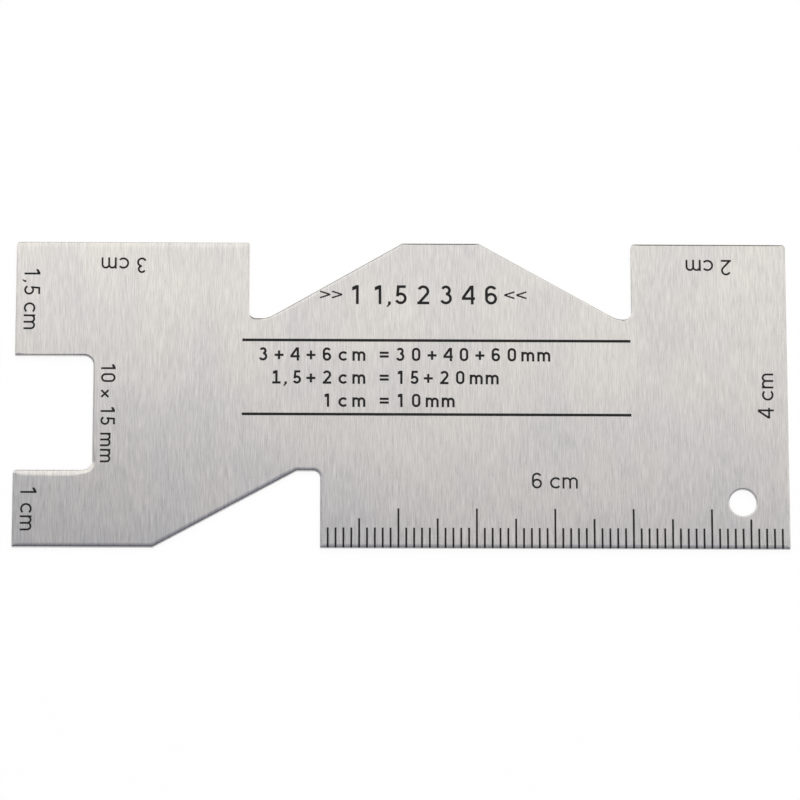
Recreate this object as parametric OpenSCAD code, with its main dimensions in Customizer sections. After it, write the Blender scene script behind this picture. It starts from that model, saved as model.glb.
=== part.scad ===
// Sewing gauge: one flat steel blank with printed widths, a small table and a ruler edge.
// It lies flat, +Z up. The origin is under the middle of the blank, on its lower face.
// Every outline below is drawn from the lower left corner of the blank and then centred.

/* [Blank] */
// Thickness of the sheet
sheet_t = 0.6; // [0.4:0.1:1.5]
// Height of the right side, the 4 cm width
side_h = 40; // [36:1:50]
// Length of the ruler edge, the 6 cm width
ruler_l = 60; // [52:1:80]
// How far the two arms reach past the left end of the ruler edge
arm_reach = 39.2; // [37:0.1:46]
// Width of the lower arm, the 1 cm width
low_arm_h = 10; // [8:0.5:12]
// Width of the upper arm, the 1,5 cm width
high_arm_h = 15; // [13:0.5:17]
// Width of the upper left tab, the 3 cm width
left_tab_w = 30; // [26:0.5:31]
// Width of the upper right tab, the 2 cm width
right_tab_w = 20; // [16:0.5:22]

/* [Slot and notches] */
// Depth of the slot between the two arms
slot_depth = 10.1; // [8:0.1:10.5]
// Depth of the two notches in the upper edge
notch_depth = 10; // [8:0.5:11]
// Level part of the left notch's floor
left_floor_l = 2.4; // [2:0.1:4]
// Level part of the right notch's floor
right_floor_l = 1.9; // [1.6:0.1:4]
// Run of the slope that rises out of the left notch
left_slope_run = 17.3; // [14:0.1:18]
// Run of the slope that rises out of the right notch
right_slope_run = 17.8; // [14:0.1:18]
// Height of the notch in the lower edge
low_notch_h = 10; // [8:0.5:12]
// Straight lower edge of the lower arm
low_arm_l = 17.9; // [16:0.1:22]
// Level part of the lower notch's roof
low_landing_l = 3; // [2:0.1:5]

/* [Corners] */
// Radius in the two inner corners of the slot
slot_r = 1.25; // [0.5:0.05:2]
// Radius where a notch floor meets an upright wall
notch_r = 0.9; // [0.4:0.05:1.2]
// Radius where a notch floor runs into its slope
slope_r = 2.8; // [1:0.1:4]
// Radius of the softened outer corners
tip_r = 0.5; // [0.3:0.05:1.5]
// Radius left on the other corners by tumbling the blank
tumbled_r = 0.15; // [0.1:0.05:0.5]

/* [Hanging hole] */
// Diameter of the hanging hole
hole_d = 3.5; // [2:0.1:5]
// Distance of the hole's centre from the lower edge and from the right side
hole_inset = 6; // [4:0.5:7]

/* [Printed ruler] */
// Thickness of the printed ink
ink_t = 0.03; // [0.02:0.01:0.1]
// Distance between two neighbouring ticks
tick_pitch = 1; // [0.8:0.1:2]
// Width of a tick
tick_w = 0.24; // [0.1:0.01:0.3]
// Length of a millimetre tick
mm_tick_l = 2.6; // [1.5:0.1:3]
// Length of a half centimetre tick
half_cm_tick_l = 3.8; // [3.2:0.1:4.4]
// Length of a centimetre tick
cm_tick_l = 5.1; // [4.6:0.1:6]

/* [Printed widths] */
// Height of the figures of the printed widths
label_h = 2.05; // [1.5:0.05:2.6]
// Stroke of the printed widths
label_stroke = 0.24; // [0.12:0.01:0.3]
// Distance of the two arm labels from the end of their arm
arm_label_inset = 1.05; // [0.8:0.05:3]
// Distance of the two tab labels from the upper edge
tab_label_inset = 2.05; // [1:0.05:4]
// How far the 3 cm label lies left of the middle of its tab
left_label_shift = 1.15; // [0:0.05:2]
// Distance of the side label from the right side
side_label_inset = 1.85; // [1:0.05:4]
// Height of the ruler label above the lower edge
ruler_label_y = 7.75; // [6.5:0.05:10]
// Distance of the slot label from the slot
slot_label_inset = 1; // [0.8:0.05:3]

/* [Printed table] */
// Thickness of the two table rules
rule_w = 0.34; // [0.1:0.01:0.4]
// How far the rules start before the left notch
rule_lead = 0.85; // [0:0.05:2]
// How far the rules stop short of the right notch's wall
rule_trail = 0.15; // [0:0.05:2]
// Distance of the upper rule from the floor of the notches
rule_drop = 2.9; // [2:0.1:4]
// Height of a table row
row_h = 3.03; // [2.6:0.01:3.4]
// Space between the last row's figures and the lower rule
rule_gap = 0.96; // [0.5:0.02:1.5]
// Height of the figures in the table
row_fig_h = 1.75; // [1.3:0.05:2]
// Stroke of the figures in the table
row_stroke = 0.29; // [0.12:0.01:0.3]
// Distance between the middles of two letters in the table
row_pitch = 2.05; // [1.9:0.01:2.2]
// Width of the table's first column
first_column_w = 16; // [15.5:0.1:18]

/* [Printed title] */
// Height of the figures in the title
title_h = 2.5; // [2:0.05:2.8]
// Stroke of the figures in the title
title_stroke = 0.35; // [0.2:0.01:0.4]
// Height of the title above the floor of the notches
title_rise = 1.9; // [1:0.1:2.5]
// How far the middle of the title lies left of the middle of the peak
title_shift = 2.2; // [0:0.1:3]
// Length from the first chevron to the last
title_l = 26.6; // [26:0.1:28]
// Length of one chevron
chevron_l = 1.3; // [0.8:0.05:1.6]
// Height of one chevron
chevron_h = 1.05; // [0.8:0.05:1.6]
// Stroke of the chevrons
chevron_stroke = 0.19; // [0.1:0.01:0.25]

/* [Hidden] */
$fn = 96;

steel = [0.80, 0.79, 0.78];
ink = [0.13, 0.13, 0.13];

// Far enough for a cutter to pass a face
past = 1;
// How far a rounding circle crosses the edges it blends, so that they truly meet
blend_lap = 0.0002;

plate_l = arm_reach + ruler_l;
slot_low_y = low_arm_h;
slot_high_y = side_h - high_arm_h;
slot_mid_y = (slot_low_y + slot_high_y) / 2;
floor_y = side_h - notch_depth;
left_slope_x = left_tab_w + left_floor_l;
left_peak_x = left_slope_x + left_slope_run;
right_tab_x = plate_l - right_tab_w;
right_slope_x = right_tab_x - right_floor_l;
right_peak_x = right_slope_x - right_slope_run;
low_slope_x = arm_reach - low_landing_l;
hole_x = plate_l - hole_inset;

// The blank's corners, anticlockwise, each with the radius that rounds it
corners = [
  [0, 0, tumbled_r],
  [low_arm_l, 0, tumbled_r],
  [low_slope_x, low_notch_h, notch_r],
  [arm_reach, low_notch_h, notch_r],
  [arm_reach, 0, tumbled_r],
  [plate_l, 0, tumbled_r],
  [plate_l, side_h, tip_r],
  [right_tab_x, side_h, tip_r],
  [right_tab_x, floor_y, notch_r],
  [right_slope_x, floor_y, slope_r],
  [right_peak_x, side_h, tip_r],
  [left_peak_x, side_h, tip_r],
  [left_slope_x, floor_y, slope_r],
  [left_tab_w, floor_y, notch_r],
  [left_tab_w, side_h, tumbled_r],
  [0, side_h, tip_r],
  [0, slot_high_y, tumbled_r],
  [slot_depth, slot_high_y, slot_r],
  [slot_depth, slot_low_y, slot_r],
  [0, slot_low_y, tip_r]
];

// Places along the ruler: every tenth tick is long, every fifth is of middle length.
// The last tick is the last one that lies whole on the blank.
last_tick = floor((ruler_l - tick_w / 2) / tick_pitch);
ticks = [1:last_tick];
cm_step = 10;
half_cm_step = 5;

// Table: the rules, the baselines of its rows and its columns
rule_x = left_tab_w - rule_lead;
rule_l = right_tab_x - rule_trail - rule_x;
rule_top_y = floor_y - rule_drop;
row_1_y = rule_top_y - row_h + (row_h - row_fig_h) / 4;
row_2_y = row_1_y - row_h;
row_3_y = row_2_y - row_h;
rule_bottom_y = row_3_y - rule_gap;
first_column_x = rule_x + first_column_w;
column_gap = 1.2;
second_column_x = first_column_x + column_gap;

// Title: its middle, and the chevrons at its two ends
title_x = (left_peak_x + right_peak_x) / 2 - title_shift;
title_y = floor_y + title_rise;
chevron_gap = 0.25;

// Widths and levels of the letters, as shares of the figures' height
figure_w = 0.62;
four_w = 0.68;
one_w = 0.34;
flag_y = 0.72;
four_bar_y = 0.24;
x_height = 0.72;
letter_m_w = 0.95;
comma_w = 0.15;
plus_w = 0.66;
plus_y = 0.43;
equals_ys = [0.25, 0.53];
cross_w = 0.56;
// The lower bowl of a three takes this share of the height and one stroke
three_bowl = 0.545;
// Where a four has its stem and a five its neck, as shares of their width
four_stem_x = 0.68;
five_neck_x = 0.2;
// Angles at which the bent strokes end
curl_a = 155;
two_tail_a = -40;
five_start_a = 134;
six_head_a = 30;
c_mouth_a = 42;
full_turn = 360;
// Height of the flag of a one and drop of a comma's tail, in strokes
flag_strokes = 1.3;
tail_strokes = 1.6;
// The label beside the slot is a little smaller than the others
slot_label_share = 0.9;

// Room that a letter takes in a line, as a share of the figures' height
function advance(ch) =
  ch == " " || ch == "," ? 0.39 :
  ch == "m" ? 1.14 :
  ch == "c" || ch == "x" ? 0.72 : 0.775;

// Room that a letter takes in the table, as a share of the letter pitch
function cell(ch) = ch == "," ? 0.62 : ch == "I" ? 0.7 : ch == "5" ? 0.76 : 1;

function room(ch, h, pitch) = pitch > 0 ? pitch * cell(ch) : h * advance(ch);

// Length of the first letters of a line, up to letter number last
function line_l(txt, last, h, pitch) =
  last == 0 ? 0 : line_l(txt, last - 1, h, pitch) + room(txt[last - 1], h, pitch);

function unit(v) = v / norm(v);

function left_of(v) = [-v.y, v.x];

// Moves children from the lower left corner's frame to the part's own
module centred() {
  translate([-plate_l / 2, -side_h / 2, 0]) children();
}

// What rounds one corner: the corner's tip, less the circle that blends its two edges
module corner_patch(before, at, after, r) {
  p = [at.x, at.y];
  way_in = unit(p - [before.x, before.y]);
  way_out = unit([after.x, after.y] - p);
  turn = atan2(way_in.x * way_out.y - way_in.y * way_out.x, way_in * way_out);
  shortest = min(norm(p - [before.x, before.y]), norm([after.x, after.y] - p));
  half_tan = tan(abs(turn) / 2);
  radius = min(r, 0.49 * shortest / half_tan);
  // Towards the middle of the circle: into the blank at an outer corner, out of it at an inner one
  side = sign(turn);
  in_side = left_of(way_in) * side;
  out_side = left_of(way_out) * side;
  from = p - way_in * radius * half_tan;
  to = p + way_out * radius * half_tan;
  middle = from + in_side * radius;
  before_tip = from - in_side * past;
  tip = p - (in_side + out_side) / (1 + in_side * out_side) * past;
  after_tip = to - out_side * past;
  difference() {
    polygon(side > 0 ? [middle, before_tip, tip, after_tip] : [middle, after_tip, tip, before_tip]);
    translate(middle) circle(r = radius + blend_lap);
  }
}

function turns_left(a, b, c) = (b.x - a.x) * (c.y - b.y) - (b.y - a.y) * (c.x - b.x) > 0;

// A closed outline whose outer and inner corners are all rounded
module rounded_outline(list) {
  n = len(list);
  difference() {
    union() {
      polygon([for (c = list) [c.x, c.y]]);
      for (i = [0:n - 1])
        if (!turns_left(list[(i + n - 1) % n], list[i], list[(i + 1) % n]))
          corner_patch(list[(i + n - 1) % n], list[i], list[(i + 1) % n], list[i][2]);
    }
    for (i = [0:n - 1])
      if (turns_left(list[(i + n - 1) % n], list[i], list[(i + 1) % n]))
        corner_patch(list[(i + n - 1) % n], list[i], list[(i + 1) % n], list[i][2]);
  }
}

// The blank: one sheet with its outline and its hanging hole
module gauge_plate() {
  color(steel) centred() difference() {
    linear_extrude(sheet_t) rounded_outline(corners);
    translate([hole_x, hole_inset, -past]) cylinder(d = hole_d, h = sheet_t + 2 * past);
  }
}

// Lays flat shapes on the upper face as ink
module printed(x, y, turn = 0) {
  color(ink) centred() translate([x, y, sheet_t]) rotate(turn) linear_extrude(ink_t) children();
}

// A straight stroke from a to b with square ends
module stroke(a, b, s) {
  along = b - a;
  translate(a) rotate(atan2(along.y, along.x)) translate([0, -s / 2]) square([norm(along), s]);
}

// A bent stroke around middle, from angle a to angle b, with r at the middle of the stroke
module bow(middle, r, a, b, s) {
  steps = ceil((b - a) / 45);
  reach = 2 * r;
  translate(middle) intersection() {
    difference() {
      circle(r = r + s / 2);
      circle(r = r - s / 2);
    }
    polygon([
      [0, 0],
      for (i = [0:steps]) reach * [cos(a + (b - a) * i / steps), sin(a + (b - a) * i / steps)]
    ]);
  }
}

module ring(middle, r, s) {
  translate(middle) difference() {
    circle(r = r + s / 2);
    circle(r = r - s / 2);
  }
}

module figure_0(h, s) {
  w = figure_w * h;
  r = (w - s) / 2;
  bow([w / 2, w / 2], r, 180, 360, s);
  bow([w / 2, h - w / 2], r, 0, 180, s);
  for (x = [0, w - s]) translate([x, w / 2]) square([s, h - w]);
}

// The flag of a one falls to the left from the top of its stem
module figure_1(h, s) {
  w = one_w * h;
  y = flag_y * h;
  x = w - s / 2;
  flag_h = flag_strokes * s;
  translate([w - s, 0]) square([s, h]);
  polygon([[0, y], [x, h - flag_h], [x, h], [w - s, h], [0, y + flag_h]]);
}

module figure_footed_1(h, s) {
  foot_w = figure_w * h;
  stem_x = one_w * h - s / 2;
  figure_1(h, s);
  translate([stem_x - foot_w / 2, 0]) square([foot_w, s]);
}

module figure_2(h, s) {
  w = figure_w * h;
  r = (w - s) / 2;
  head = [w / 2, h - w / 2];
  foot = [0.75 * s, 0.6 * s];
  bow(head, r, two_tail_a, curl_a, s);
  stroke(head + r * [cos(two_tail_a), sin(two_tail_a)], foot, s);
  square([w, s]);
}

module figure_3(h, s) {
  low_r = (three_bowl * (h + s) - s) / 2;
  high_r = (h - s) / 2 - low_r;
  x = figure_w * h - s / 2 - low_r;
  bow([x, s / 2 + low_r], low_r, -curl_a, 90, s);
  bow([x, h - s / 2 - high_r], high_r, -90, curl_a, s);
}

// The slanted stroke of a four runs from the left end of its bar to the top of its stem
module figure_4(h, s) {
  w = four_w * h;
  y = four_bar_y * h;
  x = four_stem_x * w;
  bar_top = y + s;
  top_x = x - s / 4;
  rise = h - bar_top;
  slant_w = s * norm([top_x, rise]) / rise;
  crotch_y = bar_top + (x - slant_w) * rise / top_x;
  translate([x, 0]) square([s, h]);
  translate([0, y]) square([w, s]);
  polygon([[0, y], [slant_w, y], [slant_w, bar_top], [x, crotch_y], [x, h], [top_x, h], [0, bar_top]]);
}

module figure_5(h, s) {
  w = figure_w * h;
  r = (w - s) / 2;
  bowl = [w / 2, w / 2];
  neck_x = five_neck_x * w;
  bow(bowl, r, -curl_a, five_start_a, s);
  stroke(bowl + r * [cos(five_start_a), sin(five_start_a)] - [0, s / 2], [neck_x + s / 2, h], s);
  translate([neck_x, h - s]) square([w - neck_x - s / 3, s]);
}

module figure_6(h, s) {
  w = figure_w * h;
  r = (w - s) / 2;
  bow([w / 2, h - w / 2], r, six_head_a, 180, s);
  translate([0, w / 2]) square([s, h - w]);
  ring([w / 2, w / 2], r, s);
}

module letter_c(h, s) {
  r = (x_height * h - s) / 2;
  bow([r + s / 2, r + s / 2], r, c_mouth_a, full_turn - c_mouth_a, s);
}

// Three legs under two arches; the first leg reaches the top
module letter_m(h, s) {
  top = x_height * h;
  arch_r = (letter_m_w * h - s) / 4;
  spring_y = top - s / 2 - arch_r;
  square([s, top]);
  for (k = [0, 1]) {
    translate([s / 2 + (2 * k + 1) * arch_r, spring_y]) bow([0, 0], arch_r, 0, 180, s);
    translate([2 * (k + 1) * arch_r, 0]) square([s, spring_y]);
  }
}

module comma(h, s) {
  w = comma_w * h;
  tail_x = w - tail_strokes * s;
  polygon([[w - s, s], [w - s, 0], [tail_x, -s], [w - s, -s], [w, 0], [w, s]]);
}

module plus_sign(h, s) {
  w = plus_w * h;
  translate([w / 2, plus_y * h]) {
    square([w, s], center = true);
    square([s, w], center = true);
  }
}

module equals_sign(h, s) {
  for (y = equals_ys) translate([0, y * h]) square([plus_w * h, s]);
}

module cross_sign(h, s) {
  w = cross_w * h;
  arm_l = 1.25 * w;
  for (side = [-1, 1]) translate([w / 2, w / 2]) rotate(45 * side) square([arm_l, s], center = true);
}

function letter_w(ch) =
  ch == "1" || ch == "I" ? one_w :
  ch == "4" ? four_w :
  ch == "," ? comma_w :
  ch == "c" ? 0.9 * x_height :
  ch == "m" ? letter_m_w :
  ch == "+" || ch == "=" ? plus_w :
  ch == "x" ? cross_w : figure_w;

// One letter from its left end; I stands for a one with a foot
module letter(ch, h, s) {
  if (ch == "0") figure_0(h, s);
  if (ch == "1") figure_1(h, s);
  if (ch == "I") figure_footed_1(h, s);
  if (ch == "2") figure_2(h, s);
  if (ch == "3") figure_3(h, s);
  if (ch == "4") figure_4(h, s);
  if (ch == "5") figure_5(h, s);
  if (ch == "6") figure_6(h, s);
  if (ch == "c") letter_c(h, s);
  if (ch == "m") letter_m(h, s);
  if (ch == ",") comma(h, s);
  if (ch == "+") plus_sign(h, s);
  if (ch == "=") equals_sign(h, s);
  if (ch == "x") cross_sign(h, s);
}

// A line of letters: align 0 starts at the origin, 0.5 is centred on it and 1 ends there
module line(txt, h, s, align = 0.5, pitch = 0) {
  start = -align * line_l(txt, len(txt), h, pitch);
  for (i = [0:len(txt) - 1]) {
    slack = room(txt[i], h, pitch) - letter_w(txt[i]) * h;
    translate([start + line_l(txt, i, h, pitch) + slack / 2, 0]) letter(txt[i], h, s);
  }
}

module tick_row(list, l) {
  for (k = list) printed(arm_reach + k * tick_pitch - tick_w / 2, 0) square([tick_w, l]);
}

module millimetre_ticks() {
  tick_row([for (k = ticks) if (k % half_cm_step != 0) k], mm_tick_l);
}

module half_centimetre_ticks() {
  tick_row([for (k = ticks) if (k % half_cm_step == 0 && k % cm_step != 0) k], half_cm_tick_l);
}

module centimetre_ticks() {
  tick_row([for (k = ticks) if (k % cm_step == 0) k], cm_tick_l);
}

// The two arm labels read downwards, at the ends of their arms
module label_1_cm() {
  printed(arm_label_inset, slot_low_y / 2, -90) line("1 cm", label_h, label_stroke);
}

module label_1_5_cm() {
  printed(arm_label_inset, slot_high_y + high_arm_h / 2, -90) line("1,5 cm", label_h, label_stroke);
}

// The two tab labels stand on their heads
module label_2_cm() {
  x = right_tab_x + right_tab_w / 2;
  printed(x, side_h - tab_label_inset, 180) line("2 cm", label_h, label_stroke);
}

module label_3_cm() {
  x = left_tab_w / 2 - left_label_shift;
  printed(x, side_h - tab_label_inset, 180) line("3 cm", label_h, label_stroke);
}

// The side label reads upwards
module label_4_cm() {
  printed(plate_l - side_label_inset, side_h / 2, 90) line("4 cm", label_h, label_stroke);
}

module label_6_cm() {
  printed(arm_reach + ruler_l / 2, ruler_label_y) line("6 cm", label_h, label_stroke);
}

// The slot's own size, read downwards beside it
module label_slot() {
  x = slot_depth + slot_label_inset;
  printed(x, slot_mid_y, -90) line("10 x 15 mm", slot_label_share * label_h, label_stroke);
}

module table_rule(y) {
  printed(rule_x, y - rule_w / 2) square([rule_l, rule_w]);
}

module table_rule_top() {
  table_rule(rule_top_y);
}

module table_rule_bottom() {
  table_rule(rule_bottom_y);
}

// One row: widths in centimetres up to the column's end, and the same widths in millimetres after it
module table_row(y, in_cm, in_mm) {
  printed(first_column_x, y) line(in_cm, row_fig_h, row_stroke, 1, row_pitch);
  printed(second_column_x, y) line(in_mm, row_fig_h, row_stroke, 0, row_pitch);
}

module table_row_3_4_6_cm() {
  table_row(row_1_y, "3+4+6cm", "=30+40+60mm");
}

module table_row_1_5_2_cm() {
  table_row(row_2_y, "I,5+2cm", "=15+20mm");
}

module table_row_1_cm() {
  table_row(row_3_y, "1cm", "=10mm");
}

// A chevron that points along +X from the origin, as high as it is set
module chevron() {
  tip = [chevron_l, 0];
  for (side = [-1, 1]) stroke([0, side * (chevron_h - chevron_stroke) / 2], tip, chevron_stroke);
}

module title_chevrons() {
  for (side = [0, 180])
    printed(title_x, title_y + title_h / 2, side)
      for (k = [0, 1]) translate([-title_l / 2 + k * (chevron_l + chevron_gap), 0]) chevron();
}

// The gauge's widths in centimetres, between the chevrons
module title_widths() {
  printed(title_x, title_y) line("1 1,5 2 3 4 6", title_h, title_stroke);
}

gauge_plate();
millimetre_ticks();
half_centimetre_ticks();
centimetre_ticks();
label_1_cm();
label_1_5_cm();
label_2_cm();
label_3_cm();
label_4_cm();
label_6_cm();
label_slot();
table_rule_top();
table_rule_bottom();
table_row_3_4_6_cm();
table_row_1_5_2_cm();
table_row_1_cm();
title_chevrons();
title_widths();
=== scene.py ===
# %% [markdown]
# # A flat steel sewing gauge
#
# A sewing gauge is one sheet of stainless steel, blanked to an outline whose arms, tabs and steps
# have set widths. Its upper face is printed with those widths, a small table and a ruler. This
# lesson dresses the CAD model of it: the blank gets the rolled edges that a press leaves, the
# steel gets its brushed grain, and the ink its thin film. Everything is built in metres in the
# CAD model's own frame, so that each piece lies where the model has it.

# %% Load the frame
import math

import bmesh
import bpy
from mathutils import Matrix, Vector


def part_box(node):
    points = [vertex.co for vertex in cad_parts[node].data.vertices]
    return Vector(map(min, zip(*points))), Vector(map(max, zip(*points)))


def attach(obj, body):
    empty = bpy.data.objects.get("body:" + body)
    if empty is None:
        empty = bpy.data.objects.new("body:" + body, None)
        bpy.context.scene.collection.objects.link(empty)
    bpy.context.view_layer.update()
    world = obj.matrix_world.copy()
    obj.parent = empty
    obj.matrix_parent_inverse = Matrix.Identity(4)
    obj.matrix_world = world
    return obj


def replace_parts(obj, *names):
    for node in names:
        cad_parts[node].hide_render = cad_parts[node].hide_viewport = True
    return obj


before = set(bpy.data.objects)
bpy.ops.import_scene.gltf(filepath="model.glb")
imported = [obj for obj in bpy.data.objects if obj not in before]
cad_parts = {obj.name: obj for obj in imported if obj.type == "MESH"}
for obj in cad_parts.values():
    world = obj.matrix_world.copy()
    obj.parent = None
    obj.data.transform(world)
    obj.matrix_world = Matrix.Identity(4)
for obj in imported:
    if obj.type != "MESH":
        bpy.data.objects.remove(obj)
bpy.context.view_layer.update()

MM = 0.001


def in_mm(point):
    """A point or a size in millimetres, rounded to a micron."""
    return [round(c / MM, 3) for c in point]


# %% [markdown]
# ## The sizes of the blank
#
# The overall sizes and the thickness come from the frame. The arms, the tabs and the ruler have
# the widths that are printed on them, and the other lengths and the radii were measured. They are
# all in millimetres, because that is how the gauge itself is read, and only the finished points
# are turned into metres.

# %% Name the sizes of the blank
plate_low, plate_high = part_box("gauge_plate")
PLATE_L, SIDE_H, SHEET_T = in_mm(plate_high - plate_low)

RULER_L = 60
LOW_ARM_H = 10
HIGH_ARM_H = 15
LEFT_TAB_W = 30
RIGHT_TAB_W = 20

SLOT_DEPTH = 10.1
NOTCH_DEPTH = 10
LEFT_FLOOR_L = 2.4
RIGHT_FLOOR_L = 1.9
LEFT_SLOPE_RUN = 17.3
RIGHT_SLOPE_RUN = 17.8
LOW_NOTCH_H = 10
LOW_ARM_L = 17.9
LOW_LANDING_L = 3
HOLE_D = 3.5
HOLE_INSET = 6

SLOT_R = 1.25
NOTCH_R = 0.9
SLOPE_R = 2.8
TIP_R = 0.5
TUMBLED_R = 0.15

arm_reach = PLATE_L - RULER_L
slot_high_y = SIDE_H - HIGH_ARM_H
floor_y = SIDE_H - NOTCH_DEPTH
left_slope_x = LEFT_TAB_W + LEFT_FLOOR_L
right_tab_x = PLATE_L - RIGHT_TAB_W
right_slope_x = right_tab_x - RIGHT_FLOOR_L
print("blank:", PLATE_L, "x", SIDE_H, "x", SHEET_T, "mm, arms", round(arm_reach, 3), "mm long")

# %% [markdown]
# ## The corners, and the rolls between them
#
# The outline is a closed line, anticlockwise from the lower left corner, with a radius at every
# corner. Only the corners are written down, and the arcs are worked out, because the rolled edge
# needs the same line again at many distances inside the first one. A press drags the upper face
# of the sheet down at the cut before it shears through, but not alike everywhere: on this gauge
# some edges roll over for most of a millimetre and others for a fifth of one. So each corner also
# names the kind of roll of the edge that starts there.

# %% List the kinds of roll and the corners
# Each roll's width and depth in millimetres, and how straight it is, from 0 for a quarter of an
# ellipse to 1 for a plain slope
ROLLS = {
    "deep": (0.55, 0.20, 0),
    "shallow": (0.50, 0.10, 0),
    "wide": (0.85, 0.15, 0),
    "soft": (0.72, 0.075, 0),
    "plain": (0.42, 0.14, 0),
    "thin": (0.25, 0.07, 0.2),
    "faint": (0.17, 0.05, 0.2),
    "fine": (0.20, 0.10, 0.85),
}
RULER_ROLL = "shallow"
HOLE_ROLL = "faint"

CORNERS = [
    (0, 0, TUMBLED_R, "deep"),
    (LOW_ARM_L, 0, TUMBLED_R, "deep"),
    (arm_reach - LOW_LANDING_L, LOW_NOTCH_H, NOTCH_R, "plain"),
    (arm_reach, LOW_NOTCH_H, NOTCH_R, "plain"),
    (arm_reach, 0, TUMBLED_R, RULER_ROLL),
    (PLATE_L, 0, TUMBLED_R, "plain"),
    (PLATE_L, SIDE_H, TIP_R, "fine"),
    (right_tab_x, SIDE_H, TIP_R, "thin"),
    (right_tab_x, floor_y, NOTCH_R, "fine"),
    (right_slope_x, floor_y, SLOPE_R, "thin"),
    (right_slope_x - RIGHT_SLOPE_RUN, SIDE_H, TIP_R, "fine"),
    (left_slope_x + LEFT_SLOPE_RUN, SIDE_H, TIP_R, "plain"),
    (left_slope_x, floor_y, SLOPE_R, "fine"),
    (LEFT_TAB_W, floor_y, NOTCH_R, "fine"),
    (LEFT_TAB_W, SIDE_H, TUMBLED_R, "soft"),
    (0, SIDE_H, TIP_R, "plain"),
    (0, slot_high_y, TUMBLED_R, "faint"),
    (SLOT_DEPTH, slot_high_y, SLOT_R, "fine"),
    (SLOT_DEPTH, LOW_ARM_H, SLOT_R, "wide"),
    (0, LOW_ARM_H, TIP_R, "plain"),
]
print("corners:", len(CORNERS), "and kinds of roll:", len(ROLLS))

# %% [markdown]
# ## The rolled edge
#
# The roll is wider than it is deep, so it is a quarter of an ellipse and not a round bevel, and
# on the finest edges it is nearly straight. A Bevel modifier takes as much from the wall as from
# the face, and folds over itself where a corner's radius is smaller than the bevel. Here the edge
# is a short profile from the lower face to the upper one. Each of its points holds an inset, a
# height, and how far the face is rolled there, from 0 on the level face to 1 on the wall. The
# lower corner of the cut is broken by a small round.

# %% Draw the profile of an edge with a given roll
ROLL_STEPS = 12
BREAK_R = 0.05
BREAK_STEPS = 3
# A narrow level strip beside each bend, where smooth shading ends, so that the broad faces stay flat
EASE = 0.03


def quarter_turn(steps):
    """The angles of a quarter turn, in even steps."""
    return [math.pi / 2 * k / steps for k in range(steps + 1)]


def edge_profile(roll_w, roll_depth, straight):
    """The points of an edge, from the lower face up to the upper one."""
    profile = [Vector((BREAK_R + EASE, 0, 0))]
    for angle in quarter_turn(BREAK_STEPS):
        profile.append(Vector((BREAK_R * (1 - math.sin(angle)), BREAK_R * (1 - math.cos(angle)), 1)))
    for angle in quarter_turn(ROLL_STEPS):
        drop = roll_depth * ((1 - straight) * (1 - math.sin(angle)) + straight * math.cos(angle))
        profile.append(Vector((roll_w * (1 - math.cos(angle)), SHEET_T - drop, math.cos(angle))))
    profile.append(Vector((roll_w + EASE, SHEET_T, 0)))
    return profile


PROFILES = {kind: edge_profile(*roll) for kind, roll in ROLLS.items()}
PROFILE_POINTS = len(PROFILES[RULER_ROLL])
print("edge profiles:", len(PROFILES), "of", PROFILE_POINTS, "points,", list(PROFILES))

# %% [markdown]
# ## One corner of the outline
#
# A line that runs inside the outline has the same corners, each moved in by the inset. The arcs
# keep their centres: an outer corner's radius shrinks by the inset and an inner corner's grows by
# it. Where an outer radius would fall below nothing, a hair of it is kept, so that every ring has
# the same number of points and two rings can be joined point by point.

# %% Work out the arc of one corner
ARC_STEP = math.radians(6)
LEAST_STEPS = 4
LEAST_R = 0.004


def left_of(way):
    """The direction a quarter turn to the left of the way."""
    return Vector((-way.y, way.x))


def turn_at(before, at, after):
    """The angle by which the outline turns left at a corner."""
    way_in, way_out = at - before, after - at
    return math.atan2(way_in.cross(way_out), way_in.dot(way_out))


def corner_arc(before, at, after, radius, inset):
    """The points of one corner's arc on the line that runs inside the outline at the inset."""
    way_in = (at - before).normalized()
    turn = turn_at(before, at, after)
    side = math.copysign(1, turn)
    middle = at - way_in * radius * math.tan(abs(turn) / 2) + left_of(way_in) * side * radius
    arc_r = radius - side * inset
    if arc_r < LEAST_R:
        middle += (middle - at).normalized() * (LEAST_R - arc_r) / math.cos(turn / 2)
        arc_r = LEAST_R
    steps = max(LEAST_STEPS, math.ceil(abs(turn) / ARC_STEP))
    spoke = -left_of(way_in) * side * arc_r
    return [middle + Matrix.Rotation(turn * k / steps, 2) @ spoke for k in range(steps + 1)]


square_corner = corner_arc(Vector((-1, 0)), Vector((0, 0)), Vector((0, 1)), TIP_R, 0)
print("a square corner takes", len(square_corner), "points")

# %% [markdown]
# ## Carrying the profile round the outline
#
# Where two kinds of roll meet at a corner, the arc takes the roll halfway between them, and each
# edge settles into its own roll a little beyond it. Without that second pair of points on every
# edge, its long, slim faces would change from one roll to the other over their whole length, and
# smooth shading would show them twisted. The hole has the same profile all round.

# %% Carry one point of the profile round the outline and round the hole
SETTLE_L = 1.2
HOLE_POINTS = 72
CENTRE = Vector((PLATE_L, SIDE_H)) / 2
HOLE_MIDDLE = Vector((PLATE_L - HOLE_INSET, HOLE_INSET)) - CENTRE


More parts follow.
